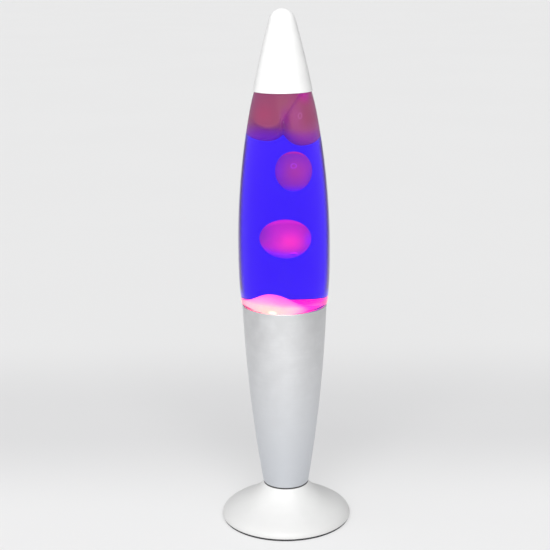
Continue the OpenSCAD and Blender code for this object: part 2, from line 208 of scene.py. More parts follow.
def rings_to_faces(rings, loop):
    """Faces between rows of point numbers; a row of one point is a pole."""
    faces = []
    pairs = list(zip(rings, rings[1:])) + ([(rings[-1], rings[0])] if loop else [])
    for low, high in pairs:
        n = max(len(low), len(high))
        if n == 1:
            continue
        for k in range(n):
            m = (k + 1) % n
            if len(low) == 1:
                faces.append((low[0], high[m], high[k]))
            elif len(high) == 1:
                faces.append((low[k], low[m], high[0]))
            else:
                faces.append((low[k], low[m], high[m], high[k]))
    return faces


def lathe(name, outline, n=144, loop=False, sharp=EDGE, ripple=None):
    """A turned solid: the outline ends on the axis, or is a loop. ripple(angle, r, z) moves r."""
    verts, rings, last = [], [], None
    for r, z in outline:
        if last and math.dist(last, (r, z)) < SAME_POINT:
            continue
        last = (r, z)
        start = len(verts)
        if r < ON_AXIS:
            verts.append((0.0, 0.0, z))
            rings.append([start])
            continue
        for a in turns(n):
            q = r + ripple(a, r, z) if ripple else r
            verts.append((q * math.cos(a), q * math.sin(a), z))
        rings.append(list(range(start, start + n)))
    return solid(name, verts, rings_to_faces(rings, loop), sharp)


def polar_solid(name, columns):
    """A closed solid from one column of (x, y, z) points per angle; all share both end points."""
    count = len(columns)
    rows = len(columns[0])
    verts, rings = [], []
    for j in range(rows):
        start = len(verts)
        if j in (0, rows - 1):
            verts.append(columns[0][j])
            rings.append([start])
            continue
        verts.extend(column[j] for column in columns)
        rings.append(list(range(start, start + count)))
    return solid(name, verts, rings_to_faces(rings, False), WAX_EDGE)


def cut(obj, cutter):
    """Takes cutter's shape out of obj and removes the cutter."""
    mod = obj.modifiers.new("cut", "BOOLEAN")
    mod.object = cutter
    mod.operation = "DIFFERENCE"
    mod.solver = "EXACT"
    depsgraph = bpy.context.evaluated_depsgraph_get()
    mesh = bpy.data.meshes.new_from_object(obj.evaluated_get(depsgraph))
    bm = bmesh.new()
    bm.from_mesh(mesh)
    bmesh.ops.remove_doubles(bm, verts=bm.verts, dist=WELD_M)
    bmesh.ops.dissolve_degenerate(bm, edges=bm.edges, dist=WELD_M)
    bm.to_mesh(mesh)
    bm.free()
    obj.modifiers.clear()
    obj.data = mesh
    finish_shading(mesh, EDGE)
    bpy.data.objects.remove(cutter)


def coat(obj, paint):
    """Gives an object its one material."""
    obj.data.materials.clear()
    obj.data.materials.append(paint.material)


def stand_for(obj, node, body, paint):
    """obj takes the place of one CAD node."""
    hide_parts(node)
    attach(obj, body)
    coat(obj, paint)


# ---------------------------------------------------------------- materials
class Nodes:
    """A shader node tree and short ways to add to it."""

    def __init__(self, tree):
        self.tree = tree
        self.tree.nodes.clear()

    def add(self, kind, **settings):
        node = self.tree.nodes.new(kind)
        for key, value in settings.items():
            setattr(node, key, value)
        return node

    def link(self, a, b):
        self.tree.links.new(a, b)

    def feed(self, socket, value):
        """Links a socket to an output, or sets it to a number or a colour."""
        if hasattr(value, "is_linked"):
            self.link(value, socket)
        elif isinstance(value, (tuple, list)) and len(value) == 3 and socket.type == "RGBA":
            socket.default_value = (*value, 1.0)
        else:
            socket.default_value = value

    def math(self, kind, a, b=0.0):
        node = self.add("ShaderNodeMath", operation=kind)
        self.feed(node.inputs[0], a)
        self.feed(node.inputs[1], b)
        return node.outputs[0]

    def vector(self, kind, a, b=None):
        """The outputs of a vector sum: a is an output, b three numbers."""
        node = self.add("ShaderNodeVectorMath", operation=kind)
        self.link(a, node.inputs[0])
        if b:
            node.inputs[1].default_value = b
        return node.outputs

    def span(self, value, low, high, to_low=0.0, to_high=1.0):
        """Maps low..high smoothly on to_low..to_high."""
        node = self.add("ShaderNodeMapRange", interpolation_type="SMOOTHSTEP")
        for key, v in (("Value", value), ("From Min", low), ("From Max", high),
                       ("To Min", to_low), ("To Max", to_high)):
            self.feed(node.inputs[key], v)
        return node.outputs[0]

    def seen(self):
        """1 for what is seen directly or through glass, 0 for reflections and light."""
        rays = self.add("ShaderNodeLightPath").outputs
        return self.math("MAXIMUM", rays["Is Camera Ray"], rays["Is Transmission Ray"])


class Paint(Nodes):
    """A material on one Principled shader, with the procedural nodes that feed it."""

    def __init__(self, name, rough=0.5, metal=0.0, **sockets):
        self.material = bpy.data.materials.new(name)
        self.material.use_nodes = True
        super().__init__(self.material.node_tree)
        self.output = self.add("ShaderNodeOutputMaterial")
        self.shader = self.add("ShaderNodeBsdfPrincipled")
        self.link(self.shader.outputs[0], self.output.inputs["Surface"])
        self.set("Roughness", rough)
        self.set("Metallic", metal)
        for key, value in sockets.items():
            self.set(key.replace("_", " "), value)
        self.place = self.add("ShaderNodeTexCoord").outputs["Object"]

    def set(self, name, value):
        self.feed(self.shader.inputs[name], value)

    def absorb(self, color, density):
        """Colour that deepens with the length of the way through, density per metre."""
        volume = self.add("ShaderNodeVolumeAbsorption")
        self.feed(volume.inputs["Color"], color)
        self.feed(volume.inputs["Density"], density)
        self.link(volume.outputs[0], self.output.inputs["Volume"])

    def axis(self, name):
        node = self.add("ShaderNodeSeparateXYZ")
        self.link(self.place, node.inputs[0])
        return node.outputs[name]

    def noise(self, scale, detail=3.0, rough=0.5, stretch=(1, 1, 1), distort=0.0):
        """Noise of so many waves a metre, stretched by direction."""
        mapping = self.add("ShaderNodeMapping")
        self.link(self.place, mapping.inputs["Vector"])
        mapping.inputs["Scale"].default_value = stretch
        node = self.add("ShaderNodeTexNoise")
        self.link(mapping.outputs[0], node.inputs["Vector"])
        for key, v in (("Scale", scale), ("Detail", detail), ("Roughness", rough),
                       ("Distortion", distort)):
            node.inputs[key].default_value = v
        return node.outputs[0]

    def spot(self, at, size, inner=0.0):
        """1 inside an ellipsoid round a point, fading to 0 at its surface, in millimetres."""
        away = self.vector("SUBTRACT", self.place, [v * MM for v in at])[0]
        scaled = self.vector("DIVIDE", away, [v * MM for v in size])[0]
        length = self.vector("LENGTH", scaled)["Value"]
        return self.span(length, inner, 1.0, 1.0, 0.0)

    def ring(self, at, rx, rz, width):
        """1 on a thin oval ring on the front of a surface, 0 off it."""
        reach = 8.0                      # how far into the surface it may lie
        outer = self.spot(at, (rx + width, reach, rz + width), 0.7)
        inner = self.spot(at, (rx, reach, rz), 0.6)
        return self.math("MULTIPLY", outer, self.math("SUBTRACT", 1.0, inner))

    def mix(self, factor, a, b):
        node = self.add("ShaderNodeMix", data_type="RGBA")
        self.feed(node.inputs[0], factor)
        self.feed(node.inputs[6], a)
        self.feed(node.inputs[7], b)
        return node.outputs[2]

    def bump(self, height, strength, distance):
        node = self.add("ShaderNodeBump")
        self.feed(node.inputs["Height"], height)
        node.inputs["Strength"].default_value = strength
        node.inputs["Distance"].default_value = distance * MM
        self.link(node.outputs[0], self.shader.inputs["Normal"])

    def layers(self, ground, spots):
        """Colour from a ground and ellipsoid spots, each (centre, size, inner, colour).

        A fifth item turns a spot over, so that it paints what lies outside.
        """
        color = ground
        for at, size, inner, paint, *outside in spots:
            pair = (paint, color) if outside else (color, paint)
            color = self.mix(self.spot(at, size, inner), *pair)
        return color


def surface(name, color, rough, metal=0.0, grain=100.0, spread=0.05, bump=0.15, depth=0.05,
            stretch=(1, 1, 1), worn=None, worn_at=None, low=None, low_at=None, **sockets):
    """An opaque finish: mottled colour, uneven gloss and fine relief.

    low darkens it as painted shade from the height low_at[1] down to low_at[0]; worn tints it in
    patches along an edge, from the height worn_at[0] to worn_at[1].
    """
    paint = Paint(name, rough, metal, **sockets)
    cloud = paint.noise(90.0, 4.0, 0.6)
    fine = paint.noise(grain * 10, 3.0, 0.6, stretch)
    light = tuple(min(1.0, c * (1 + spread * 0.5)) for c in color)
    dark = tuple(c * (1 - spread) for c in color)
    tone = paint.mix(paint.span(cloud, 0.3, 0.7), dark, light)
    tone = paint.mix(paint.span(fine, 0.35, 0.75, 0.0, 0.35), tone, dark)
    if low:
        fade = paint.span(paint.axis("Z"), low_at[1] * MM, low_at[0] * MM)
        tone = paint.mix(fade, tone, low)
    if worn:
        edge = paint.span(paint.axis("Z"), worn_at[0] * MM, worn_at[1] * MM)
        patchy = paint.span(paint.noise(700.0, 4.0, 0.65), 0.45, 0.62)
        tone = paint.mix(paint.math("MULTIPLY", edge, patchy), tone, worn)
    paint.set("Base Color", tone)
    paint.set("Roughness", paint.span(cloud, 0.2, 0.8, max(0.03, rough - 0.06), rough + 0.06))
    paint.bump(fine, bump, depth)
    return paint


# Heights between which the liquid's painted glow changes and then dims to painted shade at the top,
# and between which the glass's painted edge shade fades.
LIQUID_FADE_M, LIQUID_DARK_M = (0.150, 0.300), (0.266, 0.282)
EDGE_TOP_M, EDGE_BOTTOM_M = (0.278, 0.262), (0.161, 0.168)


def make_liquid():
    """Dyed liquid: colour by depth, and painted light: a faint blue emission that stands in for the
    bulb's light scattered in the dye, dimmer near the top.
    """
    paint = Paint("dyed_liquid", 0.0, 0.0, Transmission_Weight=1.0, IOR=1.33,
                  Specular_Tint=(0.1, 0.1, 0.1))
    paint.set("Base Color", (1.0, 1.0, 1.0))
    haze = paint.noise(35.0, 3.0, 0.5, (1, 1, 0.6))
    climb = paint.span(paint.axis("Z"), *LIQUID_FADE_M)
    glow = paint.mix(climb, (0.215, 0.075, 0.98), (0.20, 0.075, 1.0))
    glow = paint.mix(paint.span(haze, 0.3, 0.7, 0.0, 0.25), glow, (0.23, 0.08, 0.90))
    # Painted shade: the liquid's glow dims near the top.
    top = paint.span(paint.axis("Z"), *LIQUID_DARK_M)
    paint.set("Emission Color", paint.mix(top, glow, (0.10, 0.03, 0.35)))
    paint.set("Emission Strength", 0.225)
    paint.absorb((0.36, 0.04, 0.985), 138.0)
    return paint


def make_glass():
    """Bottle glass, with painted shade: tinted darker where it is seen edge-on beside the liquid.
    """
    paint = Paint("bottle_glass_clear", 0.0, 0.0, Transmission_Weight=1.0, IOR=1.42,
                  Specular_Tint=(0.12, 0.12, 0.12))
    paint.absorb((0.62, 0.60, 0.66), 100.0)
    smear = paint.noise(60.0, 3.0, 0.55, (1, 1, 0.3))
    clear = paint.mix(paint.span(smear, 0.35, 0.75, 0.0, 0.5), (1.0, 1.0, 1.0),
                      (0.96, 0.97, 0.98))
    # Painted shade: a dark warm tint where the glass is seen edge-on, only between the edge
    # heights.
    edge = paint.span(paint.add("ShaderNodeLayerWeight").outputs["Facing"], 0.53, 0.75)
    height = paint.axis("Z")
    beside = paint.math("MULTIPLY", paint.span(height, *EDGE_TOP_M),
                        paint.span(height, *EDGE_BOTTOM_M))
    tinted = paint.math("MULTIPLY", edge, beside)
    paint.set("Base Color", paint.mix(tinted, clear, (0.95, 0.60, 0.08)))
    paint.set("Roughness", paint.span(smear, 0.5, 0.8, 0.0, 0.02))
    paint.bump(paint.noise(110.0, 2.0, 0.5, (1, 1, 0.25)), 0.05, 0.05)
    return paint


def make_wax(name, body, ground, spots, strength, rings=()):
    """Wax lit by painted light: an emission painted by place stands in for the bulb's light glowing
    through it.

    rings are faint lighter rings painted into that light, each (centre, half width, half height,
    line width, colour).
    """
    paint = Paint(name, 0.6, 0.0, Specular_IOR_Level=0.0)
    cloud = paint.noise(160.0, 4.0, 0.55, (1, 1, 0.7), 0.6)
    thick = tuple(c * 0.86 for c in body)
    paint.set("Base Color", paint.mix(paint.span(cloud, 0.3, 0.7), thick, body))
    glow = paint.layers(ground, spots)
    for at, rx, rz, width, color in rings:
        glow = paint.mix(paint.ring(at, rx, rz, width), glow, color)
    dim = paint.mix(paint.span(cloud, 0.3, 0.7, 0.0, 0.10), glow, (0.0, 0.0, 0.0))
    paint.set("Emission Color", dim)
    paint.set("Emission Strength", strength)
    paint.bump(cloud, 0.08, 0.3)
    return paint


# ---------------------------------------------------------------- cap
tip_r, tip_angle = 8.67, 15.9             # the tip's ball, and the angle where it meets the side
tip_z = CAP_TOP - tip_r + tip_r * math.sin(math.radians(tip_angle))
cap_side = ([(cap_side_r(z), z) for z in steps(CAP_Z + 0.5, tip_z - 1, 60)]
            + arc(0, CAP_TOP - tip_r, tip_r, tip_angle, 90, 24))
cap_inner = [p for p in inset(cap_side, CAP_WALL) if p[1] > CAP_Z + 0.8]
cap_inner[-1] = (0.0, cap_inner[-1][1])
lip = 0.32
cap_lip = arc(CAP_R - lip, CAP_Z + lip, lip, 180, 360, 8)
cap_outline = cap_inner[::-1] + cap_lip + cap_side[:-1] + [(0.0, CAP_TOP)]
cap = lathe("white_cone", cap_outline, sharp=50)
cap_paint = surface("white_enamel", (0.92, 0.92, 0.915), 0.38, grain=90, spread=0.02, bump=0.10,
                    depth=0.08, worn=(0.80, 0.80, 0.79), worn_at=(CAP_Z + 0.7, CAP_Z + 0.1))
stand_for(cap, "cap", "cap", cap_paint)


# ---------------------------------------------------------------- bottle
LEDGE_Z = RIM_Z + 0.3                    # the ledge that stands over the base's rim
LEDGE_ROUND = 1.1
LEDGE_TOP = LEDGE_Z + LEDGE_ROUND
glass_outer = (
    [(0.0, BOTTLE_Z + 1.4), (8.0, BOTTLE_Z + 1.35), (14.0, BOTTLE_Z + 1.2)]
    + curve((14.0, BOTTLE_Z + 1.2), (15.5, BOTTLE_Z + 1.0), (16.2, BOTTLE_Z), (17.4, BOTTLE_Z), 6)
    + arc(19.4, BOTTLE_Z + 3, 3, -90, -12, 12)
    + [(26.9, 152.9), (27.05, 153.6), (27.2, LEDGE_Z)]
    + arc(bottle_r(LEDGE_TOP) - LEDGE_ROUND, LEDGE_TOP, LEDGE_ROUND, -90, 0, 10)
    + [(bottle_r(z), z) for z in steps(LEDGE_TOP + 0.6, 298, 90)]
    + curve((18.2, 298.8), (17.8, 300.6), (NECK_R, 300.2), (NECK_R, 304.5), 14)
    + arc(NECK_R - 0.1, 305.8, 0.8, -70, 70, 8)
    + [(NECK_R, 307.1)]
    + arc(NECK_R - 0.5, NECK_TOP - 0.5, 0.5, 0, 90, 5))
glass = lathe("glass_bottle", glass_outer + cavity(0, NECK_TOP)[::-1], n=180, sharp=60)
stand_for(glass, "bottle_glass", "bottle", make_glass())

FILM = 0.15                              # the liquid reaches this far into the glass
liquid = lathe("dyed_liquid", cavity(-FILM, FILL_Z) + [(0.0, FILL_Z)], n=180, sharp=60)
stand_for(liquid, "liquid", "bottle", make_liquid())


# ---------------------------------------------------------------- closure
FLUTES, FLUTE_DEPTH = 36, 0.22


def flutes(a, r, z):
    """Pressed flutes round the skirt of the closure."""
    if r < NECK_R + 0.5 or z > NECK_TOP - 1.0:
        return 0.0
    return -FLUTE_DEPTH * (0.5 + 0.5 * math.cos(FLUTES * a))


closure_r, closure_z, closure_top = round_mm("bottle_closure")
closure_outline = (
    [(0.0, closure_top - 0.6), (12.5, closure_top - 0.6), (12.9, closure_top - 1.1),
     (12.9, closure_z + 0.1), (13.0, closure_z)]
    + arc(closure_r - 0.3, closure_z + 0.3, 0.3, -90, 80, 6)
    + [(closure_r - 0.05, z) for z in steps(closure_z + 1.0, closure_top - 1.6, 8)]
    + arc(closure_r - 1.0, closure_top - 0.9, 0.9, 10, 90, 8)
    + [(9.0, closure_top), (8.6, closure_top - 0.25), (0.0, closure_top - 0.25)])
closure = lathe("pressed_closure", closure_outline, n=288, sharp=45, ripple=flutes)
closure_paint = surface("tin_plate", (0.72, 0.71, 0.68), 0.28, 1.0, grain=120, spread=0.10,
                        bump=0.08, depth=0.03)
stand_for(closure, "bottle_closure", "bottle", closure_paint)


# ---------------------------------------------------------------- wax
WAX_TOP = FILL_Z - 0.5
WALL = cavity(0.3, WAX_TOP)              # the wax stays a film of 0.3 mm away from the glass
WAX_COLUMNS = 240
CROWD = 1.35                             # crowds points towards the edge or the middle


def wall_r(z):
    """Radius of the wax where it lies against the glass."""
    return along(WALL, None, z, 1)[-1][0]


def smooth_min(values, k):
    """The least of some values, with the creases between them rounded over k."""
    low = min(values)
    return low - k * math.log(sum(math.exp((low - v) / k) for v in values))


def ease(t):
    """0 to 1 with soft ends."""
    t = min(max(t, 0.0), 1.0)
    return t * t * (3 - 2 * t)


POOL_Z, SIDE_RISE, SIDE_X = 155.5, 3.6, 27.0
WAVE_X, WAVE_RISE = -8.0, 9.2
LOBE_ROOT_Z = 279.0                      # the wax between and beside the two hanging lobes
# Each lobe: centre x and y, reach to its left, right and front or back, lowest point, height.
LOBES = ((-8, 0, 16.5, 11, 21, 265.0, 13), (10, -4, 11.5, 15, 18, 262.3, 15))


def pool_height(x, y):
    """Level of the wax at the bottom: a wave at the front left, about to rise, and raised sides."""
    ridge = -9 - 0.55 * max(0.0, x + 2)
    wide = 13 if x < WAVE_X else 16
    deep = 8.5 if y > ridge else 17
    wave = WAVE_RISE * math.exp(-((x - WAVE_X) / wide) ** 2 - ((y - ridge) / deep) ** 2)
    return POOL_Z + wave + SIDE_RISE * (abs(x) / SIDE_X) ** 5


def rounded(t):
    """The fall of a quarter circle: 0 up to t = 0, then down to 1 at t = 1."""
    t = max(0.0, t)
    return 1 - math.sqrt(max(0.0, 1 - t * t))


def towards(a, middle, width):
    """1 round the angle middle, falling to 0 beyond width, in degrees."""
    return math.exp(-(math.remainder(math.degrees(a) - middle, 360) / width) ** 4)


def pool_columns():
    """Columns of points of the wax at the bottom: up the wall, then in over the top."""
    rows, gap = 40, 1.5                  # gap: how far it stands off the glass at the front right
    columns = []
    for a in turns(WAX_COLUMNS):
        ca, sa = math.cos(a), math.sin(a)
        off = gap * towards(a, -30, 43)
        edge_r = wall_r(157.0) - off
        high = pool_height(edge_r * ca, edge_r * sa) - 0.4 - 1.6 * towards(a, -38, 26)
        wall = [(r - off if r > 20 else r, z) for r, z in along(WALL, None, high, 26)]
        column = [(r * ca, r * sa, z) for r, z in wall]
        top_r = wall[-1][0]
        for j in range(1, rows + 1):
            f = 1 - (j / rows) ** CROWD
            x, y = f * top_r * ca, f * top_r * sa
            fall = rounded((f - 0.90) / 0.10)
            column.append((x, y, pool_height(x, y) * (1 - fall) + high * fall))
        columns.append(column)
    return columns


def crown_height(x, y):
    """Underside of the wax at the top: two hanging lobes, run together at the back."""
    heights = [LOBE_ROOT_Z]
    for x0, y0, left, right, ry, low, tall in LOBES:
        rx = left if x < x0 else right
        d = math.hypot((x - x0) / rx, (y - y0) / ry)
        heights.append(low + tall * (rounded(d) if d < 1 else d))
    return smooth_min(heights, 0.7 + 2.0 * ease(y / 15))


BACK_GAP, CREASE, CREASE_W = 1.2, 3.2, 1.0
# Where the lobes lie flat on the glass: middle x, middle z, reach down; the right one's half width.
LEFT_X, LEFT_Z, LEFT_DOWN = -10.5, 289.5, 13.6
RIGHT_X, RIGHT_Z, RIGHT_DOWN, RIGHT_W = 13.5, 287.0, 19.0, 11.0
SEAM_X, SEAM_Z, SEAM_LEAN = -2.3, 276.0, 0.67
CLOSE_Z = 306.0                          # near the top the crown fills the neck


def recess(a, z):
    """How far the crown stands back from the glass: each lobe presses on a patch of it."""
    x, front = wall_r(z) * math.cos(a), -math.sin(a)
    if front < -0.2:
        return BACK_GAP
    deep = max(front, 0.0)
    seam = SEAM_X + SEAM_LEAN * max(0.0, z - SEAM_Z)
    wide = max(13.3, seam + 12.5) if x > LEFT_X else 12.3
    side_gap = 0.7 * (1 - deep) ** 2
    away = math.hypot((x - LEFT_X) / wide, min(z - LEFT_Z, 0.0) / LEFT_DOWN)
    left = 0.4 + side_gap + 6.5 * deep * ease((away - 0.93) / 0.30)
    away = math.hypot((x - RIGHT_X) / RIGHT_W, min(z - RIGHT_Z, 0.0) / RIGHT_DOWN)
    right = 0.3 + side_gap + 4.0 * deep * ease((away - 0.8) / 0.5)
    side = ease((x - seam) / 1.4 + 0.5)
    crease = CREASE * math.exp(-((x - seam) / CREASE_W) ** 2)
    depth = max(left * (1 - side) + right * side, crease)
    return depth * ease((CLOSE_Z - z) / 6)


def crown_columns():
    """Columns of points of the wax at the top: out along its underside, then up the wall."""
    rows = 40
    columns = []
    for a in turns(WAX_COLUMNS):
        ca, sa = math.cos(a), math.sin(a)
        edge_r = wall_r(271) - recess(a, 271.0)
        low = crown_height(edge_r * ca, edge_r * sa) + 0.6
        wall = [(max(0.0, r - recess(a, z)), z) for r, z in along(WALL, low, WAX_TOP, 60)]
        column = []
        for j in range(rows):
            f = (j / rows) ** (1 / CROWD)
            x, y = f * wall[0][0] * ca, f * wall[0][0] * sa
            fall = rounded((f - 0.88) / 0.12)
            column.append((x, y, crown_height(x, y) * (1 - fall) + low * fall))
        column += [(r * ca, r * sa, z) for r, z in wall]
        column.append((0.0, 0.0, WAX_TOP))
        columns.append(column)
    return columns


def blob(name, node, shape):
    """A free blob in the box of its CAD node; shape(n) scales the radius in direction n."""
    low, high = box_mm(node)
    centre = [(p + q) / 2 for p, q in zip(low, high)]
    half = [(q - p) / 2 for p, q in zip(low, high)]
    rows, count = 40, 80
    columns = []
    for a in turns(count):
        column = []
        for j in range(rows + 1):
            b = math.pi * (j / rows - 0.5)
            n = (math.cos(b) * math.cos(a), math.cos(b) * math.sin(a), math.sin(b))
            if j in (0, rows):
                n = (0.0, 0.0, n[2])
            s = shape(n)
            column.append(tuple(c + s * h * v for c, h, v in zip(centre, half, n)))
        columns.append(column)
    return polar_solid(name, columns), centre, half


OUTSIDE = True


def top_rim_highlight(centre, half, reach, color):
    """The crest of a blob: a painted highlight, a bright rim round its top and back, wider as reach
    falls.
    """
    x, y, z = centre
    return ((x, y - half[1] * 0.25, z - half[2] * 0.35), [v * reach for v in half], 0.93, color,
            OUTSIDE)


def far_side_shade(centre, half, color):
    """Painted shade on the side of a blob that faces away from the front, fading to nothing at its
    outline.
    """
    x, y, z = centre
    return ((x, y + half[1], z + half[2] * 0.1), [v * 1.32 for v in half], 0.2, color)


pool = polar_solid("wax_pool_mound", pool_columns())
# Painted light: the hot wax's emission stands in for the bulb's light through it: a hot rear and
# red ends, paler spots at the front, painted shadow lines along its top at both sides, near-black
# at its outer edge for the dark sliver and shadow line by the rim, and a dimmer glow in the heel
# inside the base.
pool_wax = make_wax(
    "hot_wax", (0.25, 0.06, 0.05), (1.0, 0.062, 0.06),
    [((14, 10, 156), (34, 26, 6), 0.3, (6.5, 0.07, 0.05)),
     ((-8, -6, 162), (22, 18, 16), 0.2, (0.60, 0.115, 0.064)),
     ((27.5, 2, 159), (11.5, 31, 8.5), 0.35, (0.55, 0.003, 0.016)),
     ((-27, 6, 159), (9, 24, 6), 0.1, (0.55, 0.02, 0.02)),
     ((-12, -24, 155), (24, 14, 8), 0.0, (0.24, 0.084, 0.048)),
     ((20, -15, 156), (20, 15, 9), 0.2, (0.50, 0.005, 0.056)),
     ((-8.5, -26, 154), (5, 5, 3), 0.0, (0.6, 0.25, 0.16)),
     ((-28, 0, 160.4), (9, 16, 1.8), 0.2, (0.01, 0.001, 0.002)),
     ((28, 0, 160.4), (9, 16, 1.8), 0.2, (0.01, 0.001, 0.002)),
     ((-8, 3.7, 164.4), (36.3, 36.3, 20), 0.985, (0.004, 0.001, 0.03), OUTSIDE),
     ((8, 2, 164), (37, 37, 20), 0.985, (0.004, 0.001, 0.002), OUTSIDE),
     ((0, 0, 130), (80, 80, 24), 0.8, (0.10, 0.026, 0.018)),
     ((0, 0, 132), (30, 30, 15), 0.2, (0.17, 0.075, 0.036))], 12.0)
stand_for(pool, "wax_pool", "bottle", pool_wax)

crown = polar_solid("wax_crown_lobes", crown_columns())
# Painted light: the cool wax's emission paints pinker patches on the front of the lobes, violet
# lower down, a magenta patch by the cap and a faint lighter ring.
crown_wax = make_wax(
    "cool_wax", (0.26, 0.045, 0.03), (0.33, 0.076, 0.095),
    [((-12, -13, 284), (11, 12, 10), 0.0, (0.40, 0.072, 0.095)),
     ((7, -16, 284), (8, 12, 16), 0.0, (0.39, 0.085, 0.20)),
     ((1, -19, 281), (5, 8, 12), 0.0, (0.30, 0.025, 0.20)),
     ((-8, 0, 264), (40, 60, 14), 0.4, (0.20, 0.004, 0.36)),
     ((12, -4, 259), (26, 40, 17), 0.3, (0.25, 0.018, 0.22)),
     ((13, -10, 297), (9, 10, 10), 0.0, (0.52, 0.02, 0.26))], 1.0,
    [((10.3, -16.0, 283), 1.1, 1.8, 0.4, (0.54, 0.17, 0.34))])
stand_for(crown, "wax_crown", "bottle", crown_wax)


def egg(n):
    """The upper blob draws in a little at its lower sides and at the upper right."""
    return 1 - 0.012 * (1 + n[0] * n[2]) - 0.015 * (1 - n[2]) * n[0] ** 2


upper, at, half = blob("wax_blob_high", "wax_blob_upper", egg)
x, y, z = at
# Painted light: the blob's emission is paler at the front, violet at the left and lower right and
# blue-violet underneath, with a painted highlight round its top, painted shade at its back and a
# faint lighter ring.
upper_wax = make_wax(
    "free_wax_high", (0.45, 0.12, 0.10), (0.26, 0.030, 0.08),
    [((x + 1, y - 9, z + 1), (10, 11, 11), 0.0, (0.31, 0.040, 0.045)),
     ((x - 9, y - 3, z + 3), (8, 12, 13), 0.1, (0.24, 0.024, 0.10)),
     ((x + 12, y - 3, z - 6), (7, 12, 12), 0.0, (0.12, 0.026, 0.10)),
     ((x, y, z - 15), (14, 14, 11), 0.0, (0.05, 0.016, 0.24)),
     top_rim_highlight(at, half, 1.34, (0.72, 0.03, 0.06)),
     far_side_shade(at, half, (0.22, 0.026, 0.10))], 4.8,
    [((x + 0.4, y - half[1], z + 5.0), 1.6, 1.5, 0.4, (0.40, 0.10, 0.16))])
stand_for(upper, "wax_blob_upper", "upper_blob", upper_wax)


def sag(n):
    """The lower blob is fuller at the lower right and flatter at the upper left."""
    return 1 - 0.02 * (1 + n[0] * n[2]) - 0.015 * max(0.0, n[2]) * (1 - n[0])


lower, at, half = blob("wax_blob_low", "wax_blob_lower", sag)
x, y, z = at
# Painted light: the blob's emission is hot pink over its top and front, darker at the left, violet
# at the right and blue-violet underneath, with a small painted highlight at its lower front over a
# darker line, a painted highlight round its top and painted shade at its back.
lower_wax = make_wax(
    "free_wax_low", (0.50, 0.14, 0.12), (0.39, 0.016, 0.07),
    [((x + 2, y - 2, z + 12), (22, 16, 12), 0.0, (0.60, 0.016, 0.06)),
     ((x - 12, y - 5, z + 3), (10, 12, 9), 0.0, (0.27, 0.016, 0.06)),
     ((x + 14, y - 4, z - 1), (7, 12, 10), 0.0, (0.28, 0.016, 0.13)),
     ((x + 3, y - 13, z), (12, 11, 11), 0.0, (0.60, 0.026, 0.060)),
     ((x - 4, y, z - 14.5), (25, 22, 13.5), 0.1, (0.06, 0.012, 0.22)),
     ((x + 4.4, y - 9, z - 8.3), (2.3, 8, 1.1), 0.6, (0.80, 0.035, 0.17)),
     ((x + 4.0, y - 9, z - 9.0), (2.3, 8, 1.1), 0.6, (0.13, 0.012, 0.20)),
     top_rim_highlight(at, half, 1.29, (1.0, 0.025, 0.08)),
     far_side_shade(at, half, (0.34, 0.016, 0.08))], 7.0)
stand_for(lower, "wax_blob_lower", "lower_blob", lower_wax)


# ---------------------------------------------------------------- base and foot
rim_mid = RIM_Z - BASE_WALL / 2
corner = 1.2
low_z = BASE_Z + corner
inner_floor = BASE_Z + 1.0
base_side = [(base_r(z), z) for z in steps(low_z, rim_mid - 0.6, 70)]
base_outline = (
    [(TUBE_HOLE_R, BASE_Z)] + arc(base_r(low_z) - corner, low_z, corner, -90, -8, 8)
    + base_side
    + arc(base_r(rim_mid) - BASE_WALL / 2, rim_mid, BASE_WALL / 2, -20, 200, 14)
    + [(r - BASE_WALL, z) for r, z in base_side[:0:-1]]
    + [(base_r(low_z + 0.6) - BASE_WALL - 0.4, inner_floor), (TUBE_HOLE_R, inner_floor)])
base = lathe("spun_base", base_outline, n=160, loop=True)
# Painted shade: the silver is darker towards the bottom.
base_paint = surface("satin_silver", (0.785, 0.79, 0.80), 0.52, 0.82, grain=60, spread=0.05,
                     bump=0.05, depth=0.03, stretch=(0.05, 0.05, 1.0),
                     worn=(0.80, 0.80, 0.80), worn_at=(RIM_Z - 1.2, RIM_Z - 0.2),
                     low=(0.61, 0.63, 0.665), low_at=(BASE_Z - 10, RIM_Z - 10))
stand_for(base, "base_shell", "lamp_base", base_paint)

COVER_TOP = round_mm("foot_cover")[2]
bend = (FOOT_R - 13.8, 12.3)
foot_side = (curve((FOOT_R, RING_T + 0.7), (FOOT_R - 0.4, 6.2), (FOOT_R - 6.3, 8.6), bend, 30)
             + curve(bend, (22.5, 16.5), (17.8, 21.3), (BASE_LOW_R, FOOT_NECK_Z), 30)[1:])
foot_inner = [p for p in inset(foot_side, FOOT_WALL) if COVER_TOP < p[1] < PLATE_Z]
foot_outline = (
    [(FOOT_R - FOOT_WALL, RING_T), (FOOT_R - 0.5, RING_T)]
    + arc(FOOT_R - 0.35, RING_T + 0.35, 0.35, -90, 0, 5)[1:] + foot_side
    + [(BASE_LOW_R - 0.3, FOOT_NECK_Z + 0.08), (BASE_LOW_R - 0.8, FOOT_NECK_Z + 0.1),
       (BASE_LOW_R - 0.8, BASE_Z), (TUBE_HOLE_R, BASE_Z), (TUBE_HOLE_R, PLATE_Z)]
    + foot_inner[::-1] + [(FOOT_R - FOOT_WALL, COVER_TOP)])
foot = lathe("moulded_foot", foot_outline, n=180, loop=True)
grommet_low, grommet_high = box_mm("cord_grommet")
hole_r = (grommet_high[0] - grommet_low[0]) / 2 + 0.05
hole_z = (grommet_high[2] + grommet_low[2]) / 2
SIDES = 64
cutter_points = [(hole_r * math.cos(a), y, hole_z + hole_r * math.sin(a))
                 for y in (24.0, 52.0) for a in turns(SIDES)]
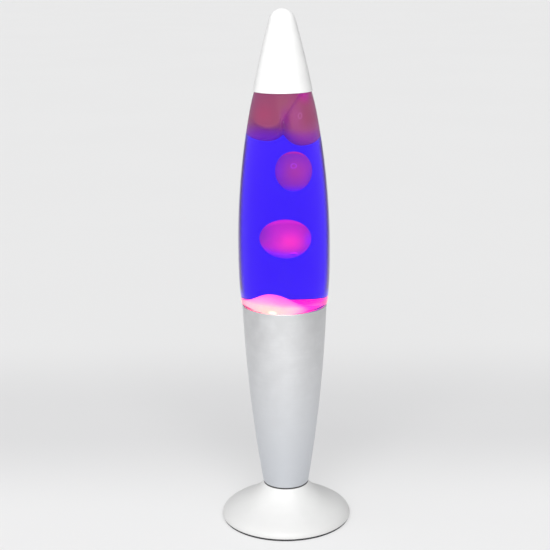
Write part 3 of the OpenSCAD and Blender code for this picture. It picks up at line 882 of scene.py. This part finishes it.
cutter = solid("cutter", cutter_points,
               [tuple(range(SIDES)), tuple(range(2 * SIDES - 1, SIDES - 1, -1))]
               + [(k, (k + 1) % SIDES, SIDES + (k + 1) % SIDES, SIDES + k)
                  for k in range(SIDES)])
cut(foot, cutter)
# Painted shade: the white moulding is darker towards its rim.
foot_paint = surface("white_moulding", (0.665, 0.665, 0.66), 0.42, grain=110, spread=0.02,
                     bump=0.12, depth=0.06, worn=(0.60, 0.60, 0.60),
                     worn_at=(RING_T + 1.2, RING_T + 0.2), low=(0.61, 0.61, 0.605),
                     low_at=(RING_T + 1, 11))
# The narrow groove under the silver base is in shadow.
groove = foot_paint.span(foot_paint.axis("Z"), (FOOT_NECK_Z - 0.02) * MM,
                         (FOOT_NECK_Z + 0.08) * MM)
foot_tone = foot_paint.shader.inputs["Base Color"].links[0].from_socket
foot_paint.set("Base Color", foot_paint.mix(groove, foot_tone, (0.08, 0.08, 0.08)))
stand_for(foot, "foot_shell", "lamp_base", foot_paint)


# ---------------------------------------------------------------- bulb
BULB_LENGTH, BULB_WALL, MIRROR_ROUGH, FROST_ROUGH = 66, 0.7, 0.5, 0.85
bulb_r, _, bulb_top = round_mm("bulb_glass")
seat = bulb_top - BULB_LENGTH
widest = 2.6                             # the rounded edge at the widest ring
bulb_outer = ([(7.4, seat + 22), (7.6, seat + 26)]
              + curve((7.6, seat + 26.5), (8.4, seat + 34), (17.5, seat + 44),
                      (19.1, seat + 50.5), 24)
              + arc(bulb_r - widest, seat + 52.9, widest, -28, 30, 8)
              + curve((bulb_r - 0.6, seat + 54.8), (18.2, seat + 60.8), (10, bulb_top),
                      (0.0, bulb_top), 24))
bulb_inner = [p for p in inset(bulb_outer, BULB_WALL) if p[1] > seat + 22.5]
bulb_inner[-1] = (0.0, bulb_inner[-1][1])
bulb = lathe("reflector_envelope", bulb_outer + bulb_inner[::-1] + [(6.7, seat + 22)], n=112,
             loop=True)
bulb_paint = Paint("bulb_frost_and_mirror")
split = bulb_paint.span(bulb_paint.axis("Z"), (seat + 52.4) * MM, (seat + 53.0) * MM)
frost = bulb_paint.noise(2500.0, 3.0, 0.6)
frosted = bulb_paint.mix(frost, (0.92, 0.88, 0.80), (0.98, 0.95, 0.88))
bulb_paint.set("Base Color", bulb_paint.mix(split, (0.80, 0.80, 0.82), frosted))
bulb_paint.set("Metallic", bulb_paint.math("SUBTRACT", 1.0, split))
rougher = bulb_paint.math("MULTIPLY", split, FROST_ROUGH - MIRROR_ROUGH)
bulb_paint.set("Roughness", bulb_paint.math("ADD", rougher, MIRROR_ROUGH))
face_glow = bulb_paint.spot((0, 0, bulb_top), (17, 17, 12))
lit = bulb_paint.mix(face_glow, (0.55, 0.34, 0.16), (1.0, 0.86, 0.66))
bulb_paint.set("Emission Color", bulb_paint.mix(split, (0.0, 0.0, 0.0), lit))
bulb_paint.set("Emission Strength", 3.0)
bulb_paint.bump(frost, 0.1, 0.03)
stand_for(bulb, "bulb_glass", "bulb", bulb_paint)


# ---------------------------------------------------------------- CAD nodes that stay
# Material name: nodes, colour, roughness, metal, grain, spread, bump, depth.
FINISHES = {
    "black_rubber": (["non_slip_ring"], (0.025, 0.025, 0.028), 0.75, 0.0, 150, 0.2, 0.4, 0.1),
    "grey_rubber": (["cord_grommet"], (0.52, 0.52, 0.53), 0.6, 0.0, 150, 0.1, 0.25, 0.05),
    "black_moulding": (["foot_cover"], (0.03, 0.03, 0.032), 0.5, 0.0, 140, 0.15, 0.35, 0.08),
    "zinc_plate": (["foot_cover_screws", "clamp_nuts", "clamp_washers", "terminal_block_screws"],
                   (0.66, 0.67, 0.66), 0.3, 1.0, 100, 0.12, 0.1, 0.02),
    "brass_bare": (["threaded_tube", "holder_screw_shell", "holder_centre_contact",
                    "holder_terminal_screws"], (0.78, 0.57, 0.25), 0.27, 1.0, 110, 0.15, 0.1, 0.02),
    "ivory_moulding": (["holder_dome", "holder_skirt"],
                       (0.78, 0.73, 0.60), 0.35, 0.0, 120, 0.05, 0.1, 0.04),
    "glazed_ceramic": (["holder_interior"], (0.80, 0.78, 0.73), 0.25, 0.0, 90, 0.05, 0.08, 0.05),
    "milky_nylon": (["terminal_block"], (0.78, 0.77, 0.72), 0.4, 0.0, 120, 0.05, 0.12, 0.05),
    "brown_sleeving": (["live_lead"], (0.20, 0.085, 0.035), 0.45, 0.0, 130, 0.1, 0.15, 0.03),
    "blue_sleeving": (["neutral_lead"], (0.04, 0.13, 0.45), 0.45, 0.0, 130, 0.1, 0.15, 0.03),
    "nickel_plate": (["bulb_cap", "bulb_tip_contact"],
                     (0.74, 0.70, 0.63), 0.25, 1.0, 110, 0.1, 0.08, 0.02),
    "black_vitrite": (["bulb_insulator"], (0.02, 0.02, 0.022), 0.15, 0.0, 90, 0.2, 0.1, 0.03),
    "steel_wire": (["bulb_supports", "heat_coil"],
                   (0.50, 0.50, 0.50), 0.32, 1.0, 130, 0.12, 0.1, 0.02),
    "foam_liner": (["closure_liner"], (0.70, 0.69, 0.66), 0.8, 0.0, 160, 0.1, 0.4, 0.08),
}
for name, (nodes, *values) in FINISHES.items():
    paint = surface(name, *values)
    for node in nodes:
        coat(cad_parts[node], paint)

filament = surface("tungsten", (0.30, 0.29, 0.28), 0.5, 0.8, grain=200, spread=0.1)
filament.set("Emission Color", (1.0, 0.62, 0.25))
filament.set("Emission Strength", 6.0)
coat(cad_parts["bulb_filament"], filament)

stem = Paint("stem_glass", 0.02, 0.0, Transmission_Weight=1.0, IOR=1.45)
ripple = stem.noise(300.0, 2.0, 0.5)
stem.set("Base Color", stem.mix(ripple, (0.97, 0.97, 0.97), (0.90, 0.92, 0.93)))
stem.bump(ripple, 0.1, 0.05)
coat(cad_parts["bulb_stem"], stem)


# ---------------------------------------------------------------- stage, light and camera
HALF_FLOOR_MM = 16000.0
OPEN_FLOOR = (0.40, 0.40, 0.401)
FLOOR_CORNERS = ((-1, -1), (1, -1), (1, 1), (-1, 1))
floor = solid("floor", [(x * HALF_FLOOR_MM, y * HALF_FLOOR_MM, 0.0) for x, y in FLOOR_CORNERS],
              [(0, 1, 2, 3)])
floor_paint = Paint("pale_floor", 0.85, 0.0, Specular_IOR_Level=0.1)
grain = floor_paint.noise(900.0, 3.0, 0.5)
cloud = floor_paint.noise(2.0, 3.0, 0.5)
depth = floor_paint.axis("Y")

# The floor's glow: painted light, paler in front of the lamp, a painted shadow in a band behind it,
# then even to the horizon.
near = floor_paint.span(depth, 0.0, 0.16)
far = floor_paint.span(depth, 0.22, 0.42)
tone = floor_paint.mix(near, (0.445, 0.445, 0.447), (0.32, 0.32, 0.324))
tone = floor_paint.mix(far, tone, OPEN_FLOOR)
around = floor_paint.spot((0, 0, 0), (1300, 1300, 1300), 0.4)
tone = floor_paint.mix(around, OPEN_FLOOR, tone)
tone = floor_paint.mix(floor_paint.span(cloud, 0.3, 0.7, 0.0, 0.06), tone, (0.3, 0.3, 0.3))

# To the sides of a wedge that opens towards the back the floor is dark, but only in reflections.
WEDGE_START_M, WEDGE_SLOPE = 0.85, 0.24
half_wedge = floor_paint.math("MULTIPLY", floor_paint.math("ADD", depth, WEDGE_START_M),
                              WEDGE_SLOPE)
beyond = floor_paint.math("SUBTRACT", floor_paint.math("ABSOLUTE", floor_paint.axis("X")),
                          half_wedge)
aside = floor_paint.math("MULTIPLY", floor_paint.span(beyond, 0.02, 0.30),
                         floor_paint.math("SUBTRACT", 1.0, floor_paint.seen()))
floor_paint.set("Base Color", floor_paint.mix(aside, (0.39, 0.39, 0.39), (0.20, 0.20, 0.20)))
floor_paint.set("Emission Color", floor_paint.mix(aside, tone, (0.10, 0.10, 0.10)))
floor_paint.set("Emission Strength", 1.0)
floor_paint.bump(grain, 0.05, 0.05)
coat(floor, floor_paint)

# The surroundings: an even wall where they are seen, and a large soft light over the front left.
world = bpy.data.worlds.new("studio")
bpy.context.scene.world = world
world.use_nodes = True
sky = Nodes(world.node_tree)
wall = sky.add("ShaderNodeBackground")
sky.feed(wall.inputs["Color"], (0.995, 0.998, 1.0))
sky.feed(wall.inputs["Strength"], 0.82)
fill = sky.add("ShaderNodeBackground")
facing = sky.vector("DOT_PRODUCT", sky.add("ShaderNodeTexCoord").outputs["Generated"],
                    (-0.25, -0.65, 0.71))["Value"]
sky.feed(fill.inputs["Color"], (0.985, 0.99, 1.0))
sky.feed(fill.inputs["Strength"], sky.span(facing, 0.1, 1.0, 0.35, 1.0))
pick = sky.add("ShaderNodeMixShader")
sky.link(sky.seen(), pick.inputs[0])
sky.link(fill.outputs[0], pick.inputs[1])
sky.link(wall.outputs[0], pick.inputs[2])
sky.link(pick.outputs[0], sky.add("ShaderNodeOutputWorld").inputs["Surface"])


def place(name, data):
    """A light or camera in the scene."""
    obj = bpy.data.objects.new(name, data)
    bpy.context.scene.collection.objects.link(obj)
    return obj


def sun(name, energy, angle, azimuth, height, glossy):
    """Soft light from a direction, its azimuth to the left of the front, in degrees."""
    data = bpy.data.lights.new(name, "SUN")
    data.energy = energy
    data.angle = math.radians(angle)
    data.color = (1.0, 0.995, 0.985)
    light = place(name, data)
    light.visible_transmission = False
    light.visible_glossy = glossy
    turn, climb = math.radians(azimuth), math.radians(height)
    toward = Vector((-math.sin(turn) * math.cos(climb), -math.cos(turn) * math.cos(climb),
                     math.sin(climb)))
    light.rotation_euler = toward.to_track_quat("Z", "Y").to_euler()


sun("key", 2.1, 50, 3, 38, True)
sun("side", 0.24, 30, 88, 12, False)

EYE_M = (-0.00625, -0.8203, 0.38198)
PITCH, ROLL = 75.777, -0.579
camera_data = bpy.data.cameras.new("camera")
camera_data.lens = 82.20
camera_data.sensor_width = 36.0
camera_data.clip_end = 100.0
camera = place("camera", camera_data)
camera.matrix_world = (Matrix.Translation(EYE_M)
                       @ Matrix.Rotation(math.radians(PITCH), 4, "X")
                       @ Matrix.Rotation(math.radians(ROLL), 4, "Z"))
scene = bpy.context.scene
scene.camera = camera
scene.view_settings.view_transform = "Standard"
scene.view_settings.look = "None"

bpy.context.view_layer.update()
